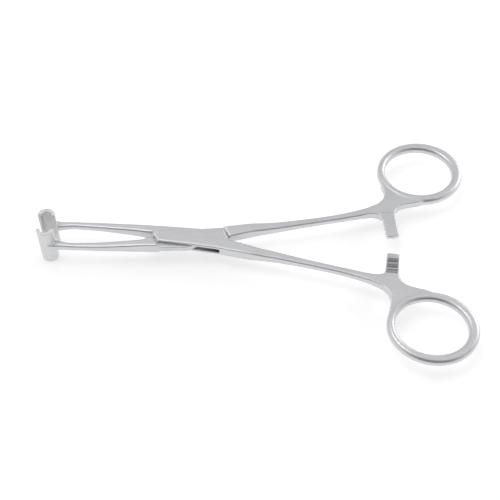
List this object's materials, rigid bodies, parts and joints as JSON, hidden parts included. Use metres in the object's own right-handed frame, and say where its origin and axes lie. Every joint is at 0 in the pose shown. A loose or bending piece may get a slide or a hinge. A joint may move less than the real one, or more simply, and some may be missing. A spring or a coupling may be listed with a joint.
{
  "type": "hemostatic forceps",
  "caption": "Ring-handled surgical clamp with a box lock, ratchet bars and toothed half-tube jaws set crosswise at the tips, resting slightly open.",
  "frame": {"origin": "on the pin's axis, in the flat underside of the box lock", "axes": "+X from the jaws towards the finger rings, +Y across towards the ring of the tongue half, +Z along the pin, up out of the box lock's top face"},
  "size_m": [0.1819, 0.1112, 0.02],
  "materials": {
    "satin_steel": "satin",
    "pin_steel": "ground flush",
    "jaw_steel": "fine satin"
  },
  "bodies": {
    "box_side": {"box_half": "satin_steel", "box_lock_pin": "pin_steel", "upper_jaw": "jaw_steel"},
    "tongue_side": {"tongue_half": "satin_steel", "lower_jaw": "jaw_steel"}
  },
  "joints": [
    {"name": "box_lock_pivot", "type": "hinge", "parent": "box_side", "child": "tongue_side", "pos_m": [0, 0, 0.0026], "axis": [0, 0, 1], "range_deg": [-5.8, 50]}
  ]
}
